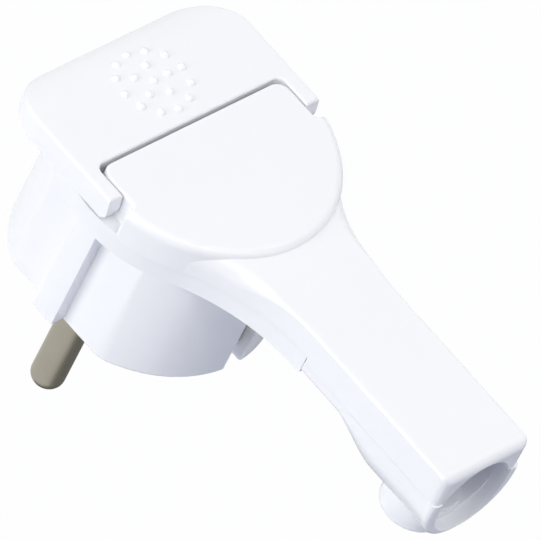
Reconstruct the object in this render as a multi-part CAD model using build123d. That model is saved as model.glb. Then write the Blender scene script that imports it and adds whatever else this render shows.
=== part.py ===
import os
from math import cos, pi, sin, sqrt

from build123d import *

os.makedirs("parts", exist_ok=True)

# Frame: origin at the centre of the face that goes into the socket, X towards the
# cable end, Y across the two pins, Z away from the wall. Millimetres.

# Socket interface, a standard size
PIN_D = 4.8
PIN_LEN = 19.0
PIN_PITCH = 19.0
PIN_TIP_R = 2.0
PIN_ROOT = 0.3              # the pins are thicker by this radius inside the floor
EARTH_X = -10.0             # earth bore, on the side away from the cable
EARTH_BORE_D = 4.9
EARTH_TUBE_WALL = 0.65
EARTH_TUBE_TOP = 15.0
EARTH_TUBE_BAND = 3.0       # whole foot of the sleeve, below its slit
EARTH_TUBE_SLIT = 0.7
EARTH_ENTRY = 0.35          # radial room round the earth bore in the floor

# Clearances
RUN = 0.05                  # radial, lever trunnions and pins in their holes
ARM_GAP = 0.2               # lever arms beside the plate's cheeks
FIT = 0.1
PAST = 1.0                  # cuts run past the faces they open by this
SEAM_GAP = 0.06             # start of the neck cover
COVER_GAP = 0.01            # neck cover under the top shell

# Drum that enters the socket, and the flange above it
DRUM_R = 18.5
DRUM_WALL = 2.0
FLOOR = 2.2
RIM_R = 0.6                 # rounding of the drum's lower rim
FLAT_Y = DRUM_R - 2.3       # flats on both sides, either side of a guide rib
FLAT_WALL = 1.6
FLAT_EDGE_LOW = 4.0         # rounding between flat and drum at the lower rim
FLAT_EDGE_TOP = 1.0         # and under the flange
RIB_W = 3.7
FLANGE_Z = 18.4             # underside of the flange
FLANGE_H = 3.0
SEAM_Z = FLANGE_Z + FLANGE_H  # parting plane of body and top shell
SLOT_W = 3.4                # slots that show the earth contacts
SLOT_X = DRUM_R - 2.5
SLOT_TOP = 15.5
PAD_X = SLOT_X - 1.6        # wall behind each slot, seen from inside
PAD_W = 7.2

# Top shell
TOP_R = DRUM_R + 0.4
TOP_H = 5.0
TOP_Z = SEAM_Z + TOP_H
TOP_EDGE_R = 1.2
NECK_TOP = TOP_Z - 0.8
ROOF_Z = NECK_TOP - 1.6
SHELL_WALL = 1.8
PLATE_X = -3.25             # straight edge of the raised plate, along the lever
PLATE_CORNER_R = 2.0
PLATE_EDGE_R = 0.45
CHEEK_Y = TOP_R - 2.3       # sides of the raised plate, between the lever's arms
CHEEK_T = 2.0
POCKET_X = 4.0              # end of the pockets in which the arms swing
POCKET_CORNER_R = 0.8
LEDGE_Z = SEAM_Z + 0.7      # ledge around and under the lever's arms
DECK_Z = SEAM_Z + 1.2       # floor under the lever
DECK_R = DRUM_R - 1.1

# Neck
NECK_HALF = 7.75
NECK_IN = 6.2               # half width of the wire channel
FLARE_R = 32.0              # concave flares between head and neck
FLARE_END = sqrt((DRUM_R + FLARE_R) ** 2 - (NECK_HALF + FLARE_R) ** 2)
BODY_END = FLARE_END + 0.25
NECK_LEN = 26.3
NECK_END = BODY_END + NECK_LEN
NECK_FLOOR = 1.5
NECK_SEAM = SEAM_Z - 1.0    # parting plane of top shell and neck cover
NECK_EDGE_R = 0.45
NECK_END_R = 1.2
SHOULDER_R = 2.3            # rounding of the neck's top edges where it leaves the head
SHOULDER_X = 17.0           # from here it narrows to the neck's own edge rounding
SHOULDER_RUN = 10.0
SEAM_R = TOP_R - 0.1        # the flange widens to this radius at the parting plane
NECK_START = 8.0

# Neck cover
COVER_START = BODY_END + SEAM_GAP
COVER_END = NECK_END + 0.15
COVER_TOP = NECK_SEAM - COVER_GAP
COVER_FLAT_Z = FLANGE_Z + 0.1
COVER_CORNER_R = 0.9
BELLY_Z = 11.65
BELLY_CORNER_R = NECK_HALF - 0.3
COVER_WALL = 1.5
BELLY_LEAD = 6.6            # flat length before the cover's underside drops
BELLY_RUN = 8.0             # length over which it drops
BELLY_FROM = BODY_END + BELLY_LEAD
BELLY_TO = BELLY_FROM + BELLY_RUN
BEAD = 0.2                  # lip around the cable mouth
BEAD_W = 1.2
BEAD_R = 0.8
BOSS_BACK = 6.7             # from the neck's end to the clamp screw
BOSS_X = NECK_END - BOSS_BACK
BOSS_R = 4.8
BOSS_H = 3.05
BOSS_Z = BELLY_Z - BOSS_H
BOSS_IN_Z = BELLY_Z + 2.35
BOSS_EDGE_R = 0.7
MOUTH_R = 6.2               # round cable mouth, shared by top shell and cover
MOUTH_Z = 18.35
MOUTH_W = 1.8
HOOK_FROM = 4.6
HOOK_PITCH = 10.0
HOOK_STARTS = (BODY_END + HOOK_FROM, BODY_END + HOOK_FROM + HOOK_PITCH)
HOOK_LEN = 4.5
HOOK_REACH = 0.45           # how far the hooks reach under the top shell's ledge
HOOK_H = 1.0
HOOK_SLIDE = 4.8            # the cover drops in this far out and slides home
RAIL_W = 1.1
TONGUE_L = 2.4              # tongue over the end of the body's neck floor
TONGUE_T = 1.2
GRIP_RIBS = (BOSS_X - 2.5, BOSS_X + 2.5)
GRIP_RIB_W = 1.2
GRIP_RIB_H = 1.5

# Lever
AXIS_Z = TOP_Z - 1.8        # hinge axis, along Y through X = 0
LEVER_FAR = -TOP_R - 0.9
LEVER_IN = PLATE_X - 0.5
LEVER_Y = TOP_R + 0.3
LEVER_Z = DECK_Z + 0.2
LEVER_TOP = TOP_Z
LEVER_CORNER_R = 7.5
LEVER_INNER_R = 1.3
LEVER_EDGE_R = 0.4
LEVER_FOLD_X = -12.0        # the top is flat up to here and curves down beyond
LEVER_DROP = 2.4
LEVER_WALL = 1.5
LEVER_SKIN = 1.6
LEVER_RIB_Y = 6.0
LEVER_RIB_W = 1.2
ARM_END = 2.05              # reach of the arms past the axis
ARM_SLANT = 0.35
ARM_CHAMFER = 0.7
DOT_R = 0.65
DOT_H = 0.42
DOT_X = -11.0
DOT_PITCH = 2.59
DOT_COUNTS = (1, 5, 12)
DOT_TURNS = (0.0, 18.0, 0.0)
TRUNNION_R = 1.2
TRUNNION_LEN = 1.5          # in the cheek
TRUNNION_ROOT = 1.0         # in the arm

# Fasteners
M3_R = 1.5
M3_CORE_R = 1.25
M3_HEAD_R = 2.7
M3_HEAD_H = 1.8
NUT_AF = 5.5
NUT_H = 2.4
TAP_R = 1.45                # closing screw, thread-forming
TAP_PILOT_R = 1.2
TAP_HEAD_R = 2.8
TAP_HEAD_H = 2.0
TAP_LEN = 12.0
SMALL_R = 1.1               # retainer screws
SMALL_PILOT_R = 0.85
SMALL_HEAD_R = 1.9
SMALL_HEAD_H = 1.4
SMALL_LEN = 4.4
SLOT_CUT = 0.7              # screwdriver slots
CLOSE_X = 4.8               # closing screw
CLOSE_SINK = 2.6
CLOSE_POST_R = 2.9
CLOSE_SEAT_Z = 5.0          # the body's boss meets the top shell's post here
EARTH_HEAD_R = 2.3
EARTH_SCREW_X = PAD_X - EARTH_HEAD_R - 0.2
BOSS_SINK = 2.0

# Contacts
COLLAR_R = 3.6
COLLAR_H = 1.6
HEAD_R = 3.1
HEAD_TOP = 13.0
WIRE_R = 1.6
WIRE_Z = 8.2
STRIP_T = 0.8
STRIP_Z = FLOOR + FIT
STRIP_W = 5.0
STRIP_ROOM = 0.5            # between the wide part's ends and the walls behind the slots
STRIP_BEND_R = 0.7
STRIP_EYE = 1.75            # ring of strip round the earth bore
LEG_W = 3.0
LEG_TOP = 14.5
EYELET_R = 1.9              # drawn neck of the strip under the earth screw
EYELET_H = 1.0
WASHER_T = 0.9
WASHER_W = 6.0
RETAINER_T = 2.0
RETAINER_L = 10.6
RETAINER_W = 2 * (FLAT_Y - FLAT_WALL - 1.1)
RETAINER_CORNER_R = 3.0
RETAINER_X = -1.5
RETAINER_SCREW_X = -4.5
RETAINER_SCREW_Y = 5.0
SADDLE_L = 4.4
SADDLE_HALF = 4.6
SADDLE_T = 2.6
SADDLE_LIFT = 0.6
SADDLE_WEB = 1.2            # saddle under the middle of the cable
CABLE_R = 4.4


def head_plan(r, half, x_end, flare):
    """Round head that runs into the neck by two concave flares."""
    cy = half + flare
    cx = sqrt((r + flare) ** 2 - cy**2)
    k = r / (r + flare)
    tx, ty = cx * k, cy * k
    mid = (Vector(tx - cx, ty - cy).normalized() + Vector(0, -1)).normalized() * flare
    mx, my = cx + mid.X, cy + mid.Y
    return make_face([
        ThreePointArc((tx, ty), (-r, 0), (tx, -ty)),
        ThreePointArc((tx, -ty), (mx, -my), (cx, -half)),
        Line((cx, -half), (x_end, -half)),
        Line((x_end, -half), (x_end, half)),
        Line((x_end, half), (cx, half)),
        ThreePointArc((cx, half), (mx, my), (tx, ty)),
    ])


def flare_of(r):
    """Radius of the flare that leads a head of radius r into the neck at FLARE_END."""
    return (FLARE_END**2 - r**2 + NECK_HALF**2) / (2 * (r - NECK_HALF))


def flare_half(x, r):
    """Half width of that plan at a station along X."""
    flare = flare_of(r)
    if x < FLARE_END * r / (r + flare):
        return sqrt(r**2 - x**2)
    return NECK_HALF + flare - sqrt(flare**2 - (FLARE_END - min(x, FLARE_END)) ** 2)


def round_plan(r):
    """Circle whose seam is turned away from the slots and flats."""
    return Rot(0, 0, 45) * Circle(r)


def flatted_plan(edge_r):
    """Drum plan with a flat on both sides, rounded where flat and drum meet."""
    plan = round_plan(DRUM_R) & Rectangle(3 * DRUM_R, 2 * FLAT_Y)
    return fillet(plan.vertices().filter_by(lambda v: abs(abs(v.Y) - FLAT_Y) < 0.01), edge_r)


def block(x0, x1, y0, y1, z0, z1):
    """Box between two corners."""
    return Pos((x0 + x1) / 2, (y0 + y1) / 2, (z0 + z1) / 2) * Box(x1 - x0, y1 - y0, z1 - z0)


def both_sides(x0, x1, y0, y1, z0, z1):
    """The same block on the +Y and the -Y side."""
    return block(x0, x1, y0, y1, z0, z1) + block(x0, x1, -y1, -y0, z0, z1)


def both_ends(x0, x1, half_y, z0, z1):
    """The same block, centred on Y, on the +X and the -X side."""
    return block(x0, x1, -half_y, half_y, z0, z1) + block(-x1, -x0, -half_y, half_y, z0, z1)


def post(x, y, r, z0, z1):
    """Upright cylinder between two heights."""
    return Pos(x, y, (z0 + z1) / 2) * Cylinder(r, z1 - z0)


def hinge_pins(r, y0, y1):
    """Cylinder on the hinge axis between two distances, on both sides."""
    pin = Rot(90, 0, 0) * Cylinder(r, y1 - y0)
    return Pos(0, (y0 + y1) / 2, AXIS_Z) * pin + Pos(0, -(y0 + y1) / 2, AXIS_Z) * pin


def slab(sketch, z0, z1):
    """Plan sketch extruded between two heights."""
    return Pos(0, 0, z0) * extrude(sketch, z1 - z0)


def station(x, sketch):
    """Sketch whose x is Y and whose y is Z, placed at a station along X."""
    return Plane(origin=(x, 0, 0), x_dir=(0, 1, 0), z_dir=(1, 0, 0)) * sketch


def cross(sketch, x0, x1):
    """The same kind of sketch, extruded between two stations."""
    return station(x0, extrude(sketch, x1 - x0))


def u_section(half, z_flat, z_round, r):
    """Straight sides with square corners at z_flat and rounded ones at z_round."""
    s = r if z_flat > z_round else -r
    c = 1 - sqrt(0.5)
    return make_face([
        Line((half, z_flat), (-half, z_flat)),
        Line((-half, z_flat), (-half, z_round + s)),
        ThreePointArc((-half, z_round + s), (-half + c * r, z_round + c * s), (-half + r, z_round)),
        Line((-half + r, z_round), (half - r, z_round)),
        ThreePointArc((half - r, z_round), (half - c * r, z_round + c * s), (half, z_round + s)),
        Line((half, z_round + s), (half, z_flat)),
    ])


def ease(t):
    """Smooth step from 0 to 1."""
    t = min(max(t, 0.0), 1.0)
    return t * t * (3 - 2 * t)


def spread(x0, x1, count):
    """Evenly spaced stations, both ends included."""
    return [x0 + (x1 - x0) * i / (count - 1) for i in range(count)]


def screw(shank_r, length, head_r, head_h, slot_w=SLOT_CUT):
    """Slotted screw, head above Z = 0 and shank below."""
    head = fillet(Cylinder(head_r, head_h).edges().sort_by(Axis.Z)[-1], head_h * 0.4)
    body = Pos(0, 0, head_h / 2) * head + Pos(0, 0, -length / 2) * Cylinder(shank_r, length)
    body = chamfer(body.edges().sort_by(Axis.Z)[0], shank_r * 0.35)
    return body - Pos(0, 0, head_h) * Box(3 * head_r, slot_w, head_h)


FAR = 4 * DRUM_R            # beyond every piece, for cuts that run out

# Body: drum with floor, flats, guide ribs, earth slots, flange and neck floor
drum = loft([flatted_plan(FLAT_EDGE_LOW), Pos(0, 0, FLANGE_Z) * flatted_plan(FLAT_EDGE_TOP)], ruled=True)
drum += slab(round_plan(DRUM_R), 0, FLANGE_Z) & block(-RIB_W / 2, RIB_W / 2, -FAR, FAR, -PAST, FAR)
drum = fillet(drum.faces().sort_by(Axis.Z)[0].edges(), RIM_R)
flange = [Pos(0, 0, z) * head_plan(r, NECK_HALF, BODY_END, flare_of(r))
          for r, z in ((DRUM_R, FLANGE_Z), (SEAM_R, SEAM_Z))]
body = drum + loft(flange, ruled=True)
inside = slab(round_plan(DRUM_R - DRUM_WALL), FLOOR, SEAM_Z + PAST)
inside &= block(-FAR, FAR, -FLAT_Y + FLAT_WALL, FLAT_Y - FLAT_WALL, 0, FAR)
body -= inside
body -= block(DRUM_R - 3 * DRUM_WALL, BODY_END + PAST, -NECK_IN, NECK_IN,
              FLANGE_Z + NECK_FLOOR, SEAM_Z + PAST)
body += both_ends(PAD_X, DRUM_R - DRUM_WALL + 0.4, PAD_W / 2, FLOOR - 0.2, SLOT_TOP + 1.5)
body -= both_ends(SLOT_X, DRUM_R + PAST, SLOT_W / 2, -PAST, SLOT_TOP)
body -= both_ends(PAD_X - PAST, SLOT_X + PAST, LEG_W / 2 + FIT, FLOOR, STRIP_Z + STRIP_T + FIT)
for s in (1, -1):
    body -= post(0, s * PIN_PITCH / 2, PIN_D / 2 + PIN_ROOT + RUN, -PAST, FLOOR + PAST)
    screw_y = s * RETAINER_SCREW_Y
    body += post(RETAINER_SCREW_X, screw_y, SMALL_HEAD_R + 0.2, FLOOR - 0.2, FLOOR + COLLAR_H)
    body -= post(RETAINER_SCREW_X, screw_y, SMALL_PILOT_R, 0.9, FLOOR + COLLAR_H + PAST)
body -= post(EARTH_X, 0, EARTH_BORE_D / 2 + EARTH_ENTRY, -PAST, FLOOR + PAST)
body -= post(EARTH_X, 0, EARTH_BORE_D / 2 + EARTH_TUBE_WALL + FIT, FLOOR, EARTH_TUBE_TOP + FIT)
body -= post(EARTH_X, 0, EARTH_BORE_D / 2 + STRIP_EYE + FIT, FLOOR, STRIP_Z + STRIP_T + FIT)
body += post(CLOSE_X, 0, CLOSE_POST_R + 0.3, FLOOR - 0.2, CLOSE_SEAT_Z)
body -= post(CLOSE_X, 0, TAP_R + 0.15, -PAST, CLOSE_SEAT_Z + PAST)
body -= post(CLOSE_X, 0, TAP_HEAD_R + 0.2, -PAST, CLOSE_SINK)
body -= post(EARTH_SCREW_X, 0, EYELET_R + 0.2, FLOOR - EYELET_H - 0.3, FLOOR + PAST)
export_step(body, "parts/plug_body.step")

# Top shell: rounded disc and neck in one moulding, stepped down where the lever lies
disc = slab(round_plan(TOP_R), SEAM_Z, TOP_Z)
disc = fillet(disc.edges().sort_by(Axis.Z)[-1], TOP_EDGE_R)
tail_x = BODY_END + FIT
rows = []
for x in spread(NECK_START, tail_x, 13):
    half = flare_half(x, SEAM_R)
    corner_r = SHOULDER_R + (NECK_EDGE_R - SHOULDER_R) * ease((x - SHOULDER_X) / SHOULDER_RUN)
    rows.append(station(x, u_section(half, SEAM_Z, NECK_TOP, corner_r)))
shell = disc + loft(rows)
round_x = NECK_END - NECK_END_R
shell += cross(u_section(NECK_HALF, NECK_SEAM, NECK_TOP, NECK_EDGE_R), tail_x, round_x)
rows = []
for turn in spread(0, pi / 2, 6):
    inset = NECK_END_R * (1 - cos(turn))
    section = u_section(NECK_HALF - inset, NECK_SEAM, NECK_TOP - inset, NECK_EDGE_R)
    rows.append(station(round_x + NECK_END_R * sin(turn), section))
shell += loft(rows)
shell -= block(-FAR, PLATE_X, -FAR, FAR, DECK_Z, FAR)
pockets = both_sides(-FAR, POCKET_X, CHEEK_Y, FAR, LEDGE_Z, FAR)
shell -= fillet(pockets.edges().filter_by(Axis.Z).filter_by(
    lambda e: e.center().X > 0 and abs(e.center().Y) < CHEEK_Y + 0.01), POCKET_CORNER_R)
shell -= slab(Circle(FAR) - Circle(DECK_R), LEDGE_Z, FAR) & block(-FAR, PLATE_X, -FAR, FAR, 0, FAR)
shell = fillet(shell.edges().filter_by(Axis.Z).filter_by(
    lambda e: abs(abs(e.center().Y) - CHEEK_Y) < 0.01 and abs(e.center().X - PLATE_X) < 0.01
    and e.center().Z > DECK_Z), PLATE_CORNER_R)
shell = fillet(shell.edges().filter_by(
    lambda e: abs(e.center().Z - TOP_Z) < 0.01 and e.center().X < POCKET_X + 0.01), PLATE_EDGE_R)
cavity = slab(head_plan(TOP_R - SHELL_WALL, NECK_IN, NECK_END + PAST, FLARE_R + SHELL_WALL), 0, ROOF_Z)
cavity -= block(-FAR, PLATE_X + SHELL_WALL, -FAR, FAR, -PAST, FAR)
cavity -= both_sides(-FAR, POCKET_X + SHELL_WALL, CHEEK_Y - CHEEK_T, FAR, -PAST, FAR)
shell -= cavity
shell += post(CLOSE_X, 0, CLOSE_POST_R, CLOSE_SEAT_Z + FIT, ROOF_Z + 0.5)
shell -= post(CLOSE_X, 0, TAP_PILOT_R, CLOSE_SEAT_Z, CLOSE_SEAT_Z + TAP_LEN)
shell -= hinge_pins(TRUNNION_R + RUN, CHEEK_Y - TRUNNION_LEN - FIT, FAR)
for x in HOOK_STARTS:
    home = x + HOOK_LEN
    shell -= both_sides(x - FIT, home + HOOK_SLIDE, 0, NECK_IN + HOOK_REACH + FIT,
                        NECK_SEAM + HOOK_H - FIT, NECK_SEAM + 2 * HOOK_H + FIT)
    shell -= both_sides(home + FIT, home + HOOK_SLIDE, 0, NECK_IN + HOOK_REACH + FIT,
                        0, NECK_SEAM + 1.5 * HOOK_H)
inner_half = NECK_IN + 0.3
shell += block(NECK_END - MOUTH_W, NECK_END, -inner_half, inner_half, NECK_SEAM, ROOF_Z + 0.3)
mouth = cross(Pos(0, MOUTH_Z) * Circle(MOUTH_R), NECK_END - MOUTH_W, COVER_END + PAST)
shell -= mouth
for x in GRIP_RIBS:
    shell += block(x - GRIP_RIB_W / 2, x + GRIP_RIB_W / 2, -inner_half, inner_half,
                   ROOF_Z - GRIP_RIB_H, ROOF_Z + 0.3)
export_step(shell, "parts/top_shell.step")

# Neck cover: flat start, belly that drops beside the socket plate, boss for the clamp screw
outer = cross(u_section(NECK_HALF, COVER_TOP, COVER_FLAT_Z, COVER_CORNER_R), COVER_START, BELLY_FROM)
rows = []
for x in spread(BELLY_FROM, BELLY_TO, 9):
    t = ease((x - BELLY_FROM) / (BELLY_TO - BELLY_FROM))
    rows.append(station(x, u_section(NECK_HALF, COVER_TOP, COVER_FLAT_Z + (BELLY_Z - COVER_FLAT_Z) * t,
                                     COVER_CORNER_R + (BELLY_CORNER_R - COVER_CORNER_R) * t)))
outer += loft(rows)
outer += cross(u_section(NECK_HALF, COVER_TOP, BELLY_Z, BELLY_CORNER_R), BELLY_TO, COVER_END - BEAD_W)
lip = cross(u_section(NECK_HALF + BEAD, COVER_TOP, BELLY_Z - BEAD, BELLY_CORNER_R + BEAD),
            COVER_END - BEAD_W, COVER_END)
outer += fillet(lip.faces().sort_by(Axis.X)[-1].edges().filter_by(
    lambda e: e.center().Z < COVER_TOP - 0.01), BEAD_R)
boss = post(BOSS_X, 0, BOSS_R, BOSS_Z, BOSS_IN_Z)
outer += fillet(boss.edges().sort_by(Axis.Z)[0], BOSS_EDGE_R)
in_half = NECK_HALF - COVER_WALL
hollow_flat = u_section(in_half, COVER_TOP + PAST, COVER_FLAT_Z + COVER_WALL, 0.4)
hollow_belly = u_section(in_half, COVER_TOP + PAST, BELLY_Z + COVER_WALL, in_half - 0.3)
hollow = cross(hollow_flat, COVER_START - PAST, BELLY_FROM + 2)
hollow += loft([station(BELLY_FROM + 2, hollow_flat), station(BELLY_TO + PAST, hollow_belly)])
hollow += cross(hollow_belly, BELLY_TO + PAST, COVER_END + PAST)
hollow -= post(BOSS_X, 0, BOSS_R, 0, BOSS_IN_Z)
cover = outer - hollow - mouth
rail_out = NECK_IN - FIT
rail_in = rail_out - RAIL_W
rail_z = COVER_FLAT_Z + 0.6
hook_top = NECK_SEAM + 2 * HOOK_H
for x in HOOK_STARTS:
    cover += both_sides(x, x + HOOK_LEN, rail_in, rail_out, rail_z, hook_top)
    cover += both_sides(x, x + HOOK_LEN, rail_in, in_half + 0.4, rail_z, COVER_TOP)
    cover += both_sides(x, x + HOOK_LEN, rail_out - 0.1, NECK_IN + HOOK_REACH, hook_top - HOOK_H, hook_top)
tongue_z = FLANGE_Z + NECK_FLOOR + FIT
cover += block(BODY_END - TONGUE_L, BODY_END + COVER_WALL, -rail_in, rail_in, tongue_z, tongue_z + TONGUE_T)
cover -= post(BOSS_X, 0, M3_R + 0.15, 0, FAR)
cover -= post(BOSS_X, 0, M3_HEAD_R + 0.3, 0, BOSS_Z + BOSS_SINK + 0.4)
nut_floor = BOSS_Z + BOSS_SINK + 0.8
cover -= slab(Pos(BOSS_X, 0) * RegularPolygon((NUT_AF + FIT) / 2, 6, major_radius=False), nut_floor, FAR)
export_step(cover, "parts/neck_cover.step")

# Lever: U-shaped pull handle, hollow underneath, with moulded trunnions
run = LEVER_FOLD_X - LEVER_FAR
arc_r = (run**2 + LEVER_DROP**2) / (2 * LEVER_DROP)


def lever_top(x):
    """Height of the lever's top at a station along X."""
    return LEVER_TOP - arc_r + sqrt(arc_r**2 - min(0.0, x - LEVER_FOLD_X) ** 2)


def lever_side(x0, x1, z0, drop):
    """Side profile: flat top that curves down to the far edge, lowered by drop."""
    mid_x = (x0 + LEVER_FOLD_X) / 2
    top, mid_z, far_z = LEVER_TOP - drop, lever_top(mid_x) - drop, lever_top(x0) - drop
    face = make_face([
        Line((x0, z0), (x1, z0)),
        Line((x1, z0), (x1, top)),
        Line((x1, top), (LEVER_FOLD_X, top)),
        ThreePointArc((LEVER_FOLD_X, top), (mid_x, mid_z), (x0, far_z)),
        Line((x0, far_z), (x0, z0)),
    ])
    return extrude(Plane.XZ * face, FAR, both=True)


pad = block(LEVER_FAR, LEVER_IN, -LEVER_Y, LEVER_Y, LEVER_Z, FAR)
pad = fillet(pad.edges().filter_by(Axis.Z).sort_by(Axis.X)[:2], LEVER_CORNER_R)
pad &= lever_side(LEVER_FAR, LEVER_IN, LEVER_Z, 0)
arm_side = Plane.XZ * make_face(Polyline(
    (LEVER_IN - PAST, LEVER_Z), (ARM_END - ARM_CHAMFER, LEVER_Z), (ARM_END, LEVER_Z + ARM_CHAMFER),
    (ARM_END, LEVER_Z + 2 * ARM_CHAMFER), (ARM_END - ARM_SLANT, LEVER_TOP), (LEVER_IN - PAST, LEVER_TOP),
    close=True))
arm_in = CHEEK_Y + ARM_GAP
arms = extrude(arm_side, FAR, both=True) & both_sides(-FAR, FAR, arm_in, LEVER_Y, 0, FAR)
lever = pad + arms
lever = fillet(lever.edges().filter_by(Axis.Z).filter_by(
    lambda e: abs(e.center().X - LEVER_IN) < 0.01 and abs(abs(e.center().Y) - arm_in) < 0.01),
    LEVER_INNER_R)
lever = fillet(lever.faces().filter_by(Axis.Z).sort_by(Axis.Z)[-1].edges().filter_by(
    lambda e: e.center().X > LEVER_FOLD_X + 0.01), LEVER_EDGE_R)
under = block(LEVER_FAR + LEVER_WALL, LEVER_IN - LEVER_WALL, -LEVER_Y + LEVER_WALL, LEVER_Y - LEVER_WALL,
              LEVER_Z - PAST, LEVER_TOP)
under = fillet(under.edges().filter_by(Axis.Z).sort_by(Axis.X)[:2], LEVER_CORNER_R - LEVER_WALL)
under &= lever_side(LEVER_FAR + LEVER_WALL, LEVER_IN - LEVER_WALL, LEVER_Z - PAST, LEVER_SKIN)
for y in (-LEVER_RIB_Y, LEVER_RIB_Y):
    under -= block(-FAR, 0, y - LEVER_RIB_W / 2, y + LEVER_RIB_W / 2, LEVER_Z + 0.4, FAR)
lever -= under
lever += hinge_pins(TRUNNION_R, CHEEK_Y - TRUNNION_LEN, CHEEK_Y + TRUNNION_ROOT)
ball_r = (DOT_R**2 + DOT_H**2) / (2 * DOT_H)
for ring, count in enumerate(DOT_COUNTS):
    for spot in PolarLocations(ring * DOT_PITCH, count, DOT_TURNS[ring]):
        x, y = spot.position.X + DOT_X, spot.position.Y
        lever += Pos(x, y, lever_top(x) + DOT_H - ball_r) * Sphere(ball_r)
export_step(lever, "parts/pull_lever.step")

# Line and neutral pins, turned, with the wire terminal as their inner end
tip = fillet(Cylinder(PIN_D / 2, PIN_LEN).edges().sort_by(Axis.Z)[0], PIN_TIP_R)
pin = Pos(0, 0, -PIN_LEN / 2) * tip
pin += post(0, 0, PIN_D / 2 + PIN_ROOT, 0, FLOOR)
pin += post(0, 0, COLLAR_R, FLOOR, FLOOR + COLLAR_H)
pin += post(0, 0, HEAD_R, FLOOR, HEAD_TOP)
pin -= Pos(0, 0, WIRE_Z) * Rot(0, 90, 0) * Cylinder(WIRE_R, 4 * HEAD_R)
pin -= post(0, 0, M3_CORE_R, WIRE_Z, HEAD_TOP + PAST)
export_step(Pos(0, PIN_PITCH / 2, 0) * pin, "parts/line_pin.step")
export_step(Pos(0, -PIN_PITCH / 2, 0) * pin, "parts/neutral_pin.step")
pin_screw = Pos(0, 0, HEAD_TOP) * screw(M3_CORE_R, HEAD_TOP - WIRE_Z - 1.2, M3_HEAD_R, M3_HEAD_H)
export_step(Compound(children=[Pos(0, s * PIN_PITCH / 2, 0) * pin_screw for s in (1, -1)]),
            "parts/pin_terminal_screws.step")

# Insulating plate that holds the pin collars down, with its two screws
plate_z = FLOOR + COLLAR_H
plate_plan = Pos(RETAINER_X, 0) * RectangleRounded(RETAINER_L, RETAINER_W, RETAINER_CORNER_R)
plate = slab(plate_plan, plate_z, plate_z + RETAINER_T)
plate -= post(CLOSE_X, 0, CLOSE_POST_R + 1.1, 0, FAR)
for s in (1, -1):
    plate -= post(0, s * PIN_PITCH / 2, HEAD_R + FIT, 0, FAR)
    plate -= post(RETAINER_SCREW_X, s * RETAINER_SCREW_Y, SMALL_R + FIT, 0, FAR)
export_step(plate, "parts/pin_retainer.step")
small = screw(SMALL_PILOT_R, SMALL_LEN, SMALL_HEAD_R, SMALL_HEAD_H, 0.5)
export_step(Compound(children=[Pos(RETAINER_SCREW_X, s * RETAINER_SCREW_Y, plate_z + RETAINER_T) * small
                               for s in (1, -1)]), "parts/retainer_screws.step")

# Earth strip on the floor, turned up through the slots at both ends
leg_x = SLOT_X + FIT
flat = Rectangle(2 * (PAD_X - STRIP_ROOM), STRIP_W) + Pos(CLOSE_X, 0) * Circle(CLOSE_POST_R + 2.1)
flat += Pos(EARTH_X, 0) * Circle(EARTH_BORE_D / 2 + STRIP_EYE) + Rectangle(2 * leg_x + STRIP_T, LEG_W)
strip_top = STRIP_Z + STRIP_T
strip = slab(flat, STRIP_Z, strip_top) + both_ends(leg_x, leg_x + STRIP_T, LEG_W / 2, STRIP_Z, LEG_TOP)
strip -= post(CLOSE_X, 0, CLOSE_POST_R + 0.6, 0, FAR)
strip -= post(EARTH_X, 0, EARTH_BORE_D / 2, 0, FAR)
strip += post(EARTH_SCREW_X, 0, EYELET_R, STRIP_Z - EYELET_H, strip_top)
strip -= post(EARTH_SCREW_X, 0, M3_CORE_R, 0, FAR)
strip = fillet(strip.edges().filter_by(Axis.Y).filter_by(
    lambda e: abs(abs(e.center().X) - leg_x - STRIP_T) < 0.01 and abs(e.center().Z - STRIP_Z) < 0.01),
    STRIP_BEND_R)
export_step(strip, "parts/earth_strip.step")

# Sprung sleeve for the socket's earth pin, standing on the strip
sleeve = post(EARTH_X, 0, EARTH_BORE_D / 2 + EARTH_TUBE_WALL, strip_top, EARTH_TUBE_TOP)
sleeve -= post(EARTH_X, 0, EARTH_BORE_D / 2, 0, FAR)
sleeve -= block(
    EARTH_X - EARTH_BORE_D, EARTH_X + EARTH_BORE_D, -EARTH_TUBE_SLIT / 2, EARTH_TUBE_SLIT / 2,
    strip_top + EARTH_TUBE_BAND, FAR)
export_step(sleeve, "parts/earth_sleeve.step")

# Earth terminal: square wire washer under a screw
washer_plan = Pos(EARTH_SCREW_X, 0) * RectangleRounded(2 * EARTH_HEAD_R, WASHER_W, 0.5)
washer = slab(washer_plan, strip_top, strip_top + WASHER_T)
washer -= post(EARTH_SCREW_X, 0, M3_R + FIT, 0, FAR)
export_step(washer, "parts/earth_washer.step")
export_step(Pos(EARTH_SCREW_X, 0, strip_top + WASHER_T) * screw(
    M3_CORE_R, WASHER_T + STRIP_T + EYELET_H - FIT, EARTH_HEAD_R, M3_HEAD_H), "parts/earth_screw.step")

# Closing screw, from the face into the top shell's post
close = Rot(180, 0, 0) * screw(TAP_PILOT_R, TAP_LEN, TAP_HEAD_R, TAP_HEAD_H)
export_step(Pos(CLOSE_X, 0, CLOSE_SINK) * close, "parts/closing_screw.step")

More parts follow.
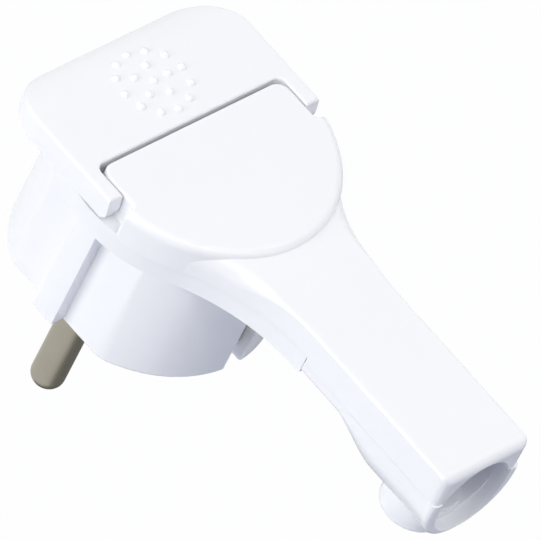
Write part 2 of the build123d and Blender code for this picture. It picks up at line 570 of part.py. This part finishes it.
# Cable clamp: saddle lifted against the cable by a screw that turns in a captive nut
nut = slab(Pos(BOSS_X, 0) * RegularPolygon(NUT_AF / 2, 6, major_radius=False), nut_floor, nut_floor + NUT_H)
nut -= post(BOSS_X, 0, M3_CORE_R, 0, FAR)
export_step(nut, "parts/clamp_nut.step")
saddle_z = BOSS_IN_Z + SADDLE_LIFT
socket_z = saddle_z + 0.8   # top of the saddle's blind hole for the screw
clamp_screw = Rot(180, 0, 0) * screw(M3_CORE_R, socket_z - BOSS_Z - BOSS_SINK, M3_HEAD_R, M3_HEAD_H)
export_step(Pos(BOSS_X, 0, BOSS_Z + BOSS_SINK) * clamp_screw, "parts/clamp_screw.step")
saddle = block(BOSS_X - SADDLE_L / 2, BOSS_X + SADDLE_L / 2, -SADDLE_HALF, SADDLE_HALF,
               saddle_z, saddle_z + SADDLE_T)
saddle -= Pos(BOSS_X, 0, saddle_z + CABLE_R + SADDLE_WEB) * Rot(0, 90, 0) * Cylinder(CABLE_R, 4 * SADDLE_L)
saddle &= Pos(BOSS_X, 0, BELLY_Z + COVER_WALL + in_half - 0.3) * Rot(0, 90, 0) * Cylinder(
    in_half - 0.5, 4 * SADDLE_L)
saddle -= post(BOSS_X, 0, M3_CORE_R + FIT, 0, socket_z)
export_step(saddle, "parts/clamp_saddle.step")
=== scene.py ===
# %% [markdown]
# # A flat mains plug, dressed and lit
#
# The plug's pieces are modelled to size elsewhere and arrive here as a fixed frame. This lesson gives
# every piece the finish of the real one and sets up a plain product picture: a camera, a pale floor
# and soft light. Lengths are in metres. X runs from the pull lever to the cable mouth, Y across the
# pins, and Z away from the wall.

# %% Load the plug
import math

import bpy
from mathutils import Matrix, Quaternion, Vector


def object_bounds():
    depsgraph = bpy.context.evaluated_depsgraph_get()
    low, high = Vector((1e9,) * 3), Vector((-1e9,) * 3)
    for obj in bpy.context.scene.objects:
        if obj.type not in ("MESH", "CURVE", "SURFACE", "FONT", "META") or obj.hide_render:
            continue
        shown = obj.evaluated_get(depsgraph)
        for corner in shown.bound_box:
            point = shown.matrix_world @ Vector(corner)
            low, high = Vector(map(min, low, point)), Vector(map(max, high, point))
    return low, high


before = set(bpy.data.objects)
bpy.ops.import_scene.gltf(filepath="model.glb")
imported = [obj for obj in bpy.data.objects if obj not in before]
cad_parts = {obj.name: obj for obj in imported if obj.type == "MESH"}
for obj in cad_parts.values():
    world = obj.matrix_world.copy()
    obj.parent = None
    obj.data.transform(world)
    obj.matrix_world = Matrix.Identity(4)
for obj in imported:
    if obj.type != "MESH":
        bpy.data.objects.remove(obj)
cad_low, cad_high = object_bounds()
MM = 0.001
print("plug box in mm:", [round(v / MM, 1) for v in cad_high - cad_low])

# %% [markdown]
# ## The camera
#
# On the real picture, edges that are parallel on the plug stay parallel, so it was taken from far
# away through a long lens. A wide lens close by would make the cable mouth look huge. The camera
# therefore stands two metres off. Two angles say where it stands, and a roll tilts the picture.

# %% Camera
VIEW_AZIMUTH = math.radians(27.10)
VIEW_ELEVATION = math.radians(45.91)
VIEW_ROLL = math.radians(27.97)
VIEW_TARGET = Vector((10.93, 11.54, 5.17)) * MM
VIEW_DISTANCE = 2.0
VIEW_LENS = 1024.0
SENSOR = 36.0


def direction(azimuth, elevation):
    """Unit vector towards a place given by two angles; azimuth 0 is the -Y side."""
    flat = math.cos(elevation)
    return Vector((math.sin(azimuth) * flat, -math.cos(azimuth) * flat, math.sin(elevation)))


towards_camera = direction(VIEW_AZIMUTH, VIEW_ELEVATION)
camera_data = bpy.data.cameras.new("photo_camera")
camera_data.lens = VIEW_LENS
camera_data.sensor_width = SENSOR
camera = bpy.data.objects.new("photo_camera", camera_data)
bpy.context.scene.collection.objects.link(camera)
camera.location = VIEW_TARGET + towards_camera * VIEW_DISTANCE
camera.rotation_mode = "QUATERNION"
upright = (-towards_camera).to_track_quat("-Z", "Y")
camera.rotation_quaternion = upright @ Quaternion((0, 0, 1), VIEW_ROLL)
bpy.context.scene.camera = camera
print("camera stands at", [round(v, 3) for v in camera.location])

# %% [markdown]
# ## Small helpers for node trees
#
# Every finish below is a node tree. Nodes could be placed by hand in the editor, but a script can be
# read from top to bottom and run again. Three helpers keep the cells short: one adds a node and fills
# in its settings, one adds a noise texture, and one calculates with numbers and other nodes' outputs.

# %% Node helpers


def add_node(tree, kind, values=None, **settings):
    """New node with its settings and the values of its input sockets."""
    made = tree.nodes.new(kind)
    for name, value in settings.items():
        setattr(made, name, value)
    for name, value in (values or {}).items():
        made.inputs[name].default_value = value
    return made


def noise(tree, place, scale, detail):
    """Output of a noise texture, about 0 to 1, at the coordinates that place puts out."""
    made = add_node(tree, "ShaderNodeTexNoise", {"Scale": scale, "Detail": detail})
    tree.links.new(place, made.inputs["Vector"])
    return made.outputs["Fac"]


def calculate(tree, operation, *terms):
    """Output of a Math node; each term is a plain number or another node's output."""
    made = add_node(tree, "ShaderNodeMath", operation=operation)
    for socket, term in zip(made.inputs, terms):
        if isinstance(term, float):
            socket.default_value = term
        else:
            tree.links.new(term, socket)
    return made.outputs[0]


print("helpers:", ", ".join(helper.__name__ for helper in (add_node, noise, calculate)))

# %% [markdown]
# ## A node group to start from
#
# A node group is a small tree with named inputs and outputs. The same nodes could be repeated in each
# material, but a group is built once and placed in several, so that like pieces share an effect, each
# with its own strengths. The groups here put out what changes over a surface: colour, roughness and a
# height for the relief.

# %% Group starter
FLOAT = "NodeSocketFloat"
COLOR = "NodeSocketColor"


def new_group(name, inputs):
    """Empty group for a finish; inputs are (name, socket type, default)."""
    group = bpy.data.node_groups.new(name, "ShaderNodeTree")
    for label, kind, default in inputs:
        socket = group.interface.new_socket(label, in_out="INPUT", socket_type=kind)
        socket.default_value = default
    for label, kind in (("Color", COLOR), ("Roughness", FLOAT), ("Height", FLOAT)):
        group.interface.new_socket(label, in_out="OUTPUT", socket_type=kind)
    return group, add_node(group, "NodeGroupInput"), add_node(group, "NodeGroupOutput")


print("socket types:", FLOAT, COLOR)

# %% [markdown]
# ## Moulded skin
#
# Injection-moulded plastic is never perfectly even. The polish of the mould leaves a fine orange
# peel, the gloss wanders a little, and the melt leaves faint cloudy flow marks. Painted images could
# show that, but they need unwrapped pieces. Noise in the pieces' own coordinates needs none, and its
# grain has a true size, given here as how often it repeats in a metre.

# %% Moulded skin group
PEEL_PER_METRE = 650.0
PEEL_DETAIL = 2.0
GLOSS_PER_METRE = 170.0
GLOSS_DETAIL = 4.0
FLOW_PER_METRE = 45.0
FLOW_DETAIL = 3.0
NOISE_MIDDLE = 0.5


def moulded_skin():
    """Group that varies tone and roughness and puts out the height of the orange peel."""
    group, source, sink = new_group("moulded_skin", (
        ("Color", COLOR, (0.9, 0.9, 0.9, 1)),
        ("Flow", FLOAT, 0.02),
        ("Roughness", FLOAT, 0.3),
        ("Gloss Drift", FLOAT, 0.08),
    ))
    place = add_node(group, "ShaderNodeTexCoord").outputs["Object"]

    marks = noise(group, place, FLOW_PER_METRE, FLOW_DETAIL)
    flow = calculate(group, "SUBTRACT", marks, NOISE_MIDDLE)
    level = calculate(group, "MULTIPLY_ADD", flow, source.outputs["Flow"], 1.0)
    tone = add_node(group, "ShaderNodeHueSaturation")
    group.links.new(level, tone.inputs["Value"])
    group.links.new(source.outputs["Color"], tone.inputs["Color"])
    group.links.new(tone.outputs["Color"], sink.inputs["Color"])

    polish = noise(group, place, GLOSS_PER_METRE, GLOSS_DETAIL)
    drift = calculate(group, "SUBTRACT", polish, NOISE_MIDDLE)
    rough = calculate(group, "MULTIPLY_ADD", drift, source.outputs["Gloss Drift"],
                      source.outputs["Roughness"])
    group.links.new(rough, sink.inputs["Roughness"])
    group.links.new(noise(group, place, PEEL_PER_METRE, PEEL_DETAIL), sink.inputs["Height"])
    return group


skin_group = moulded_skin()
print("group", skin_group.name, "with", len(skin_group.nodes), "nodes")

# %% [markdown]
# ## From a group to a material
#
# A material takes what the group puts out into one Principled BSDF, which covers plastic and metal
# alike. Relief this fine could be cut into the mesh, but it is thinner than a hair, so a Bump node,
# which only tilts the shading, is enough.

# %% Material starters


def new_material(name, values):
    """Material with one Principled BSDF; values are set on its own sockets."""
    material = bpy.data.materials.new(name)
    material.use_nodes = True
    tree = material.node_tree
    tree.nodes.clear()
    surface = add_node(tree, "ShaderNodeBsdfPrincipled", values)
    output = add_node(tree, "ShaderNodeOutputMaterial")
    tree.links.new(surface.outputs["BSDF"], output.inputs["Surface"])
    return material, tree, surface


def finish_material(name, group, group_values, relief_mm, shader_values):
    """Material that takes its colour, roughness and relief from a group."""
    material, tree, surface = new_material(name, shader_values)
    skin = add_node(tree, "ShaderNodeGroup", group_values, node_tree=group)
    bump = add_node(tree, "ShaderNodeBump", {"Strength": 1.0, "Distance": relief_mm * MM})
    tree.links.new(skin.outputs["Height"], bump.inputs["Height"])
    tree.links.new(skin.outputs["Color"], surface.inputs["Base Color"])
    tree.links.new(skin.outputs["Roughness"], surface.inputs["Roughness"])
    tree.links.new(bump.outputs["Normal"], surface.inputs["Normal"])
    return material


print("materials start from", new_material.__name__, "and", finish_material.__name__)

# %% [markdown]
# ## Plastic finishes
#
# The shells and the lever are bright white with a faint blue cast, the trick that makes white plastic
# look clean. Light enters it a little way and comes out again. A plain white paint would show hard
# shadows, so a weak subsurface share softens them. The inner insulating pieces are duller and a
# little warmer. They lie hidden or in shade, so they do without it.

# %% Plastic materials


def plastic(name, color, flow, roughness, drift, peel_mm, shader_values):
    """Material of a moulded piece."""
    group_values = {"Color": (*color, 1), "Flow": flow, "Roughness": roughness, "Gloss Drift": drift}
    return finish_material(name, skin_group, group_values, peel_mm, shader_values)


WHITE = (0.885, 0.895, 0.925)
INNER = (0.62, 0.62, 0.60)
PLASTIC_IOR = 1.5
SOFT_WHITE = {
    "IOR": PLASTIC_IOR,
    "Subsurface Weight": 0.15,
    "Subsurface Radius": (1.0, 1.0, 1.0),
    "Subsurface Scale": 0.6 * MM,
}
shell_white = plastic("shell_white", WHITE, flow=0.02, roughness=0.21, drift=0.06, peel_mm=0.010,
                      shader_values=SOFT_WHITE)
lever_white = plastic("lever_white", WHITE, flow=0.02, roughness=0.22, drift=0.06, peel_mm=0.012,
                      shader_values=SOFT_WHITE)
inner_plastic = plastic("inner_plastic", INNER, flow=0.08, roughness=0.55, drift=0.12, peel_mm=0.02,
                        shader_values={"IOR": PLASTIC_IOR})
print("plastics:", shell_white.name, lever_white.name, inner_plastic.name)

# %% [markdown]
# ## Turned and plated metal
#
# The pins are turned from brass and nickel plated. Turning leaves fine rings around the axis, and the
# plating dulls in soft clouds. The rings could be cut as grooves, but they are far finer than the
# pin's own faces. They follow height only, so a noise texture that is stretched flat along Z draws
# them. The same group serves the small stamped and plated pieces, with weaker rings.

# %% Plated metal group
RINGS_PER_METRE = 9000.0
RINGS_DETAIL = 2.0
RING_STRETCH = 0.02
CLOUD_PER_METRE = 260.0
CLOUD_DETAIL = 5.0


def plated_metal():
    """Group that gives plated metal rings along Z and a cloudy tarnish."""
    group, source, sink = new_group("plated_metal", (
        ("Color", COLOR, (0.5, 0.5, 0.5, 1)),
        ("Tarnish Color", COLOR, (0.4, 0.38, 0.33, 1)),
        ("Roughness", FLOAT, 0.3),
        ("Ring Roughness", FLOAT, 0.1),
    ))
    place = add_node(group, "ShaderNodeTexCoord").outputs["Object"]
    stretch = add_node(group, "ShaderNodeMapping", {"Scale": (RING_STRETCH, RING_STRETCH, 1.0)})
    group.links.new(place, stretch.inputs["Vector"])
    rings = noise(group, stretch.outputs["Vector"], RINGS_PER_METRE, RINGS_DETAIL)

    blend = add_node(group, "ShaderNodeMix", data_type="RGBA")
    group.links.new(noise(group, place, CLOUD_PER_METRE, CLOUD_DETAIL), blend.inputs["Factor"])
    group.links.new(source.outputs["Color"], blend.inputs["A"])
    group.links.new(source.outputs["Tarnish Color"], blend.inputs["B"])
    group.links.new(blend.outputs["Result"], sink.inputs["Color"])

    rough = calculate(group, "MULTIPLY_ADD", rings, source.outputs["Ring Roughness"],
                      source.outputs["Roughness"])
    group.links.new(rough, sink.inputs["Roughness"])
    group.links.new(rings, sink.inputs["Height"])
    return group


metal_group = plated_metal()
print("group", metal_group.name, "with", len(metal_group.nodes), "nodes")

# %% [markdown]
# ## Metal finishes
#
# Nickel on the pins is a warm, rather dark grey with a soft shine. The earth contacts are bent from
# sheet with the same plating, which comes out smoother and brighter there. The screws are zinc plated
# and cooler. One metal for all would be quicker, but the pins show beside white plastic, where a wrong
# tint is easy to see.

# %% Metal materials


def metal(name, color, tarnish, roughness, ring_roughness, ring_mm):
    """Material of a plated metal piece."""
    group_values = {"Color": (*color, 1), "Tarnish Color": (*tarnish, 1), "Roughness": roughness,
                    "Ring Roughness": ring_roughness}
    return finish_material(name, metal_group, group_values, ring_mm, {"Metallic": 1.0})


pin_nickel = metal("pin_nickel", color=(0.41, 0.385, 0.325), tarnish=(0.35, 0.325, 0.265),
                   roughness=0.30, ring_roughness=0.14, ring_mm=0.004)
earth_nickel = metal("earth_nickel", color=(0.55, 0.52, 0.45), tarnish=(0.47, 0.43, 0.35),
                     roughness=0.28, ring_roughness=0.10, ring_mm=0.002)
screw_zinc = metal("screw_zinc", color=(0.60, 0.61, 0.63), tarnish=(0.52, 0.53, 0.55),
                   roughness=0.30, ring_roughness=0.12, ring_mm=0.003)
print("metals:", pin_nickel.name, earth_nickel.name, screw_zinc.name)

# %% [markdown]
# ## Giving the pieces their finishes
#
# Every piece of the plug keeps its shape and gets one of the finishes above. A table of finishes and
# pieces is shorter than a line for each piece, and shows at a glance what is made of what.

# %% Assign the finishes
FINISHES = {
    shell_white: ("plug_body", "top_shell", "neck_cover"),
    lever_white: ("pull_lever",),
    inner_plastic: ("pin_retainer", "clamp_saddle"),
    pin_nickel: ("line_pin", "neutral_pin"),
    earth_nickel: ("earth_strip", "earth_sleeve"),
    screw_zinc: ("pin_terminal_screws", "retainer_screws", "earth_washer", "earth_screw",
                 "closing_screw", "clamp_nut", "clamp_screw"),
}
for material, names in FINISHES.items():
    for name in names:
        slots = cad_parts[name].data.materials
        slots.clear()
        slots.append(material)
    print(material.name, "on", ", ".join(names))

# %% [markdown]
# ## White to look at
#
# The plug is shown on white. More light on the background would bleach the plug as well, so the white
# is only shown and lights nothing. A Light Path node tells what a ray is for: camera, glossy and
# transmission rays show the background, and all others carry light to the plug. Two helpers use that,
# one to tell the rays apart and one to mix two shaders by it.

# %% Ray helpers
SHOWN_WHITE = {"Color": (1, 1, 1, 1), "Strength": 1.0}


def seen_rays(tree):
    """Output that is 1 for rays that show the background and 0 for rays that light the plug."""
    path = add_node(tree, "ShaderNodeLightPath").outputs
    seen = calculate(tree, "MAXIMUM", path["Is Camera Ray"], path["Is Glossy Ray"])
    return calculate(tree, "MAXIMUM", seen, path["Is Transmission Ray"])


def mix_shaders(tree, share, first, second):
    """Output of a Mix Shader; at a share of 1 only the second one is left."""
    made = add_node(tree, "ShaderNodeMixShader")
    for socket, output in zip(made.inputs, (share, first, second)):
        tree.links.new(output, socket)
    return made.outputs[0]


print("rays that show the background meet a strength of", SHOWN_WHITE["Strength"])

# %% [markdown]
# ## The world
#
# Around the plug lies a plain world instead of a modelled studio, because nothing of a studio shows in
# the picture. It is white where it is seen, and lights with a dim blue that fills the shade.

# %% World
WORLD_LIT = (0.10, 0.25, 1.0, 1)
WORLD_STRENGTH = 0.14


def white_world():
    """World that is white to look at and lights softly."""
    world = bpy.data.worlds.new("white_world")
    world.use_nodes = True
    tree = world.node_tree
    tree.nodes.clear()
    lit = add_node(tree, "ShaderNodeBackground", {"Color": WORLD_LIT, "Strength": WORLD_STRENGTH})
    shown = add_node(tree, "ShaderNodeBackground", SHOWN_WHITE)
    output = add_node(tree, "ShaderNodeOutputWorld")
    mixed = mix_shaders(tree, seen_rays(tree), lit.outputs[0], shown.outputs[0])
    tree.links.new(mixed, output.inputs["Surface"])
    return world


bpy.context.scene.world = white_world()
print("world", bpy.context.scene.world.name, "lights at", WORLD_STRENGTH)

# %% [markdown]
# ## The floor's surface
#
# Like the world, the floor shows white, but it mixes in a little of its lit surface, which keeps a
# faint shadow. That surface is a pale blue, so the light that it throws back up tints the shaded round
# of the drum. From below, the floor is clear, so that the face with the pins can be looked at.

# %% Floor material
FLOOR_PALE = (0.69, 0.72, 0.81, 1)
FLOOR_LIT_SHARE = 0.03
MATT = 0.9


def floor_white():
    """Material that shows white from above, with a faint shadow, and is clear from below."""
    material, tree, surface = new_material("floor_white", {"Base Color": FLOOR_PALE, "Roughness": MATT})
    shown = add_node(tree, "ShaderNodeEmission", SHOWN_WHITE)
    share = calculate(tree, "MULTIPLY", seen_rays(tree), 1.0 - FLOOR_LIT_SHARE)
    above = mix_shaders(tree, share, surface.outputs["BSDF"], shown.outputs[0])
    below = add_node(tree, "ShaderNodeBsdfTransparent")
    facing = add_node(tree, "ShaderNodeNewGeometry")
    sided = mix_shaders(tree, facing.outputs["Backfacing"], above, below.outputs[0])
    tree.links.new(sided, tree.nodes["Material Output"].inputs["Surface"])
    return material


floor_material = floor_white()
print("floor keeps", FLOOR_LIT_SHARE, "of its lit surface")

# %% [markdown]
# ## The floor
#
# The plug is shown as if held up, with the floor a few centimetres below the pins. Its edge must not
# show from any side. A curved backdrop would do for one camera, but a level sheet that is much larger
# than the plug serves them all. The sheet belongs to the stage and not to the plug.

# %% Floor
FLOOR_DROP = 0.06
FLOOR_Z = cad_low.z - FLOOR_DROP
FLOOR_SIZE = 6.0


def flat_sheet(name, x_range, y_range, height, material):
    """Level rectangle of the stage, with its material."""
    (x0, x1), (y0, y1) = x_range, y_range
    corners = [(x0, y0, height), (x1, y0, height), (x1, y1, height), (x0, y1, height)]
    mesh = bpy.data.meshes.new(name)
    mesh.from_pydata(corners, [], [(0, 1, 2, 3)])
    mesh.materials.append(material)
    sheet = bpy.data.objects.new(name, mesh)
    bpy.context.scene.collection.objects.link(sheet)
    return sheet


half = FLOOR_SIZE / 2
flat_sheet("floor", (-half, half), (-half, half), FLOOR_Z, floor_material)
print("floor lies", round(-FLOOR_Z / MM, 1), "mm below the plug's face")

# %% [markdown]
# ## The dark card
#
# Metal in an all-white room looks like grey paint, because it has nothing dark to mirror. A darker
# colour would not help, as the whole pin would darken. Photographers put a dark card beside the metal
# instead. This one lies on the floor and shows only in reflections: it takes no light from the plug
# and throws no shadow.

# %% Dark card
CARD_X = (-0.02, 0.20)
CARD_Y = (-0.03, 0.20)
CARD_LIFT = 0.002
CARD_DARK = (0.22, 0.22, 0.22, 1)

card_dark, _, _ = new_material("card_dark", {"Base Color": CARD_DARK, "Roughness": MATT})
card = flat_sheet("dark_card", CARD_X, CARD_Y, FLOOR_Z + CARD_LIFT, card_dark)
card.visible_camera = False
card.visible_diffuse = False
card.visible_shadow = False
print("card of", [round(v / MM) for v in card.dimensions[:2]], "mm for reflections")

# %% [markdown]
# ## Lamps
#
# Soft studio light comes from large lamps, because small ones would draw hard shadows. The one in
# front and the one high up make the near side and the top about equally bright, so the edges between
# them catch both, and the round of the drum falls into shade towards the cable. A weak lamp reaches
# into the cable mouth, and lamps at the side and the back keep the far sides open. The back ones are
# wider, so that their mirror image in the flat top stays below white. The lamps are a little warm
# against the blue of the world and the floor, which leaves the lit sides white and the shade blue.

# %% Lamps
LAMP_DISTANCE = 0.8
LAMP_TINT = (1.0, 0.98, 0.885)
PLUG_MIDDLE = (cad_low + cad_high) / 2
# Name, azimuth and elevation in degrees, size in metres, level of light on the plug.
LAMPS = (
    ("front", -15.0, 21.0, 0.6, 0.77),
    ("side", -90.0, 30.0, 0.6, 0.165),
    ("high", 42.0, 74.0, 0.6, 0.34),
    ("mouth", 95.0, 48.0, 0.6, 0.10),
    ("back_left", -140.0, 40.0, 1.1, 0.32),
    ("back_right", 140.0, 40.0, 1.1, 0.57),
)


def lamp(name, azimuth, elevation, size, level):
    """Square area lamp that lights a facing white card to about the given level."""
    data = bpy.data.lights.new(name, "AREA")
    data.size = size
    data.color = LAMP_TINT
    data.energy = level * (math.pi * LAMP_DISTANCE) ** 2
    made = bpy.data.objects.new(name, data)
    bpy.context.scene.collection.objects.link(made)
    towards = direction(math.radians(azimuth), math.radians(elevation))
    made.location = PLUG_MIDDLE + towards * LAMP_DISTANCE
    made.rotation_mode = "QUATERNION"
    made.rotation_quaternion = (-towards).to_track_quat("-Z", "Y")
    return made


for values in LAMPS:
    made = lamp(*values)
    print("lamp", made.name, "at", [round(v, 2) for v in made.location])

# %% [markdown]
#
# The Standard view shows colours as they are written.

# %% Finish
bpy.context.scene.view_settings.view_transform = "Standard"
